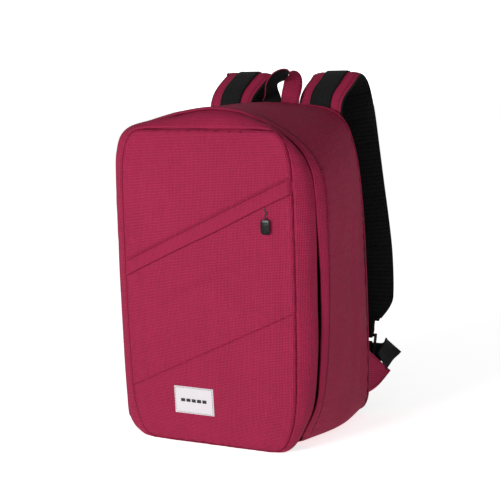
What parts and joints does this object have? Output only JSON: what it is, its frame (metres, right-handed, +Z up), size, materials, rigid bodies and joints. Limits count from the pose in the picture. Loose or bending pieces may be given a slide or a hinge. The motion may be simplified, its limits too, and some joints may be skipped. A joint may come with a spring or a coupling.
{
  "type": "travel backpack",
  "caption": "Soft cabin-size travel backpack with a clamshell lid, a slanting zipped front pocket, padded shoulder straps with webbing adjusters and a grab loop.",
  "frame": {"origin": "centre of the flat base, on the face it stands on", "axes": "+Z up the bag, -Y out of the front panel, +Y out of the padded back panel, +X to the right when looking at the front"},
  "size_m": [0.288, 0.2833, 0.4543],
  "materials": {
    "shell_fabric": "raspberry woven polyester, matt with a faint sheen",
    "lining_fabric": "thin black lining cloth",
    "mesh_fabric": "black spacer mesh",
    "foam": "soft grey foam",
    "webbing": "black ribbed webbing and binding tape",
    "zip_tape": "black herringbone zip tape",
    "zip_coil": "black nylon coil",
    "slider_metal": "black lacquered zinc",
    "moulded_plastic": "black moulded plastic",
    "cord": "grey-black braided cord",
    "label": "white woven label"
  },
  "bodies": {
    "rear_section": {"main_gusset": "shell_fabric", "bottom_panel": "shell_fabric", "bottom_board": "moulded_plastic", "front_foot": "shell_fabric", "main_lining": "lining_fabric", "back_lining": "lining_fabric", "back_foam": "foam", "back_panel_mesh": "mesh_fabric", "back_seam_binding": "webbing", "yoke_panel": "shell_fabric", "zip_flap": "shell_fabric", "zip_facing": "lining_fabric", "main_zip_tape_rear": "zip_tape", "main_zip_coil_rear": "zip_coil", "laptop_sleeve": "lining_fabric", "sleeve_gusset": "lining_fabric", "sleeve_binding": "webbing", "wing_right": "shell_fabric", "wing_left": "shell_fabric", "strap_root_right": "shell_fabric", "strap_root_left": "shell_fabric", "handle_root": "shell_fabric"},
    "lid": {"lid_gusset": "shell_fabric", "front_panel_upper": "shell_fabric", "front_panel_middle": "shell_fabric", "front_panel_lower": "shell_fabric", "pocket_flap": "shell_fabric", "pocket_bag": "lining_fabric", "lid_foam": "foam", "lid_lining": "lining_fabric", "front_zip_tape": "zip_tape", "front_zip_coil": "zip_coil", "front_zip_stops": "slider_metal", "main_zip_tape_lid": "zip_tape", "main_zip_coil_lid": "zip_coil", "label": "label", "label_stitching": "label"},
    "front_slider": {"front_slider": "slider_metal"},
    "front_pull": {"front_pull_cord": "cord", "front_pull": "moulded_plastic"},
    "main_slider_upper": {"main_slider_upper": "slider_metal"},
    "main_pull_upper": {"main_pull_upper": "moulded_plastic"},
    "main_slider_lower": {"main_slider_lower": "slider_metal"},
    "main_pull_lower": {"main_pull_lower": "moulded_plastic"},
    "grab_handle": {"handle_outer": "shell_fabric", "handle_lining": "lining_fabric"},
    "strap_right": {"strap_outer_right": "shell_fabric", "strap_foam_right": "foam", "strap_mesh_right": "mesh_fabric", "strap_webbing_right": "webbing", "adjuster_webbing_right": "webbing"},
    "ladder_lock_right": {"ladder_lock_right": "moulded_plastic", "adjuster_tail_right": "webbing"},
    "strap_left": {"strap_outer_left": "shell_fabric", "strap_foam_left": "foam", "strap_mesh_left": "mesh_fabric", "strap_webbing_left": "webbing", "adjuster_webbing_left": "webbing"},
    "ladder_lock_left": {"ladder_lock_left": "moulded_plastic", "adjuster_tail_left": "webbing"}
  },
  "joints": [
    {"name": "lid_fold", "type": "hinge", "parent": "rear_section", "child": "lid", "pos_m": [0, -0.1, 0.028], "axis": [1, 0, 0], "range_deg": [0, 90]},
    {"name": "front_zip_run", "type": "slide", "parent": "lid", "child": "front_slider", "axis": [0.9045, 0, 0.4266], "range_m": [-0.185, 0.014]},
    {"name": "front_pull_swing", "type": "hinge", "parent": "front_slider", "child": "front_pull", "pos_m": [0.08418, -0.1036, 0.29787], "axis": [0, 1, 0], "range_deg": [-45, 45]},
    {"name": "main_zip_run_upper", "type": "slide", "parent": "rear_section", "child": "main_slider_upper", "axis": [0, 0, 1], "range_m": [0, 0.055]},
    {"name": "main_pull_swing_upper", "type": "hinge", "parent": "main_slider_upper", "child": "main_pull_upper", "pos_m": [-0.1382, -0.07, 0.2274], "axis": [1, 0, 0], "range_deg": [-75, 15]},
    {"name": "main_zip_run_lower", "type": "slide", "parent": "rear_section", "child": "main_slider_lower", "axis": [0, 0, 1], "range_m": [-0.11, 0]},
    {"name": "main_pull_swing_lower", "type": "hinge", "parent": "main_slider_lower", "child": "main_pull_lower", "pos_m": [-0.1382, -0.07, 0.2014], "axis": [1, 0, 0], "range_deg": [-75, 15]},
    {"name": "grab_handle_swing", "type": "hinge", "parent": "rear_section", "child": "grab_handle", "pos_m": [0.003, 0.1046, 0.413], "axis": [1, 0, 0], "range_deg": [-20, 60]},
    {"name": "strap_swing_right", "type": "hinge", "parent": "rear_section", "child": "strap_right", "pos_m": [0.0665, 0.1072, 0.416], "axis": [0.1791, 0.0544, -0.9823], "range_deg": [-10, 10]},
    {"name": "ladder_lock_tilt_right", "type": "hinge", "parent": "strap_right", "child": "ladder_lock_right", "pos_m": [0.0945, 0.1492, 0.094], "axis": [1, 0, 0], "range_deg": [-8, 8]},
    {"name": "strap_swing_left", "type": "hinge", "parent": "rear_section", "child": "strap_left", "pos_m": [-0.0665, 0.1072, 0.416], "axis": [-0.1791, 0.0544, -0.9823], "range_deg": [-10, 10]},
    {"name": "ladder_lock_tilt_left", "type": "hinge", "parent": "strap_left", "child": "ladder_lock_left", "pos_m": [-0.0945, 0.1492, 0.094], "axis": [1, 0, 0], "range_deg": [-8, 8]}
  ]
}
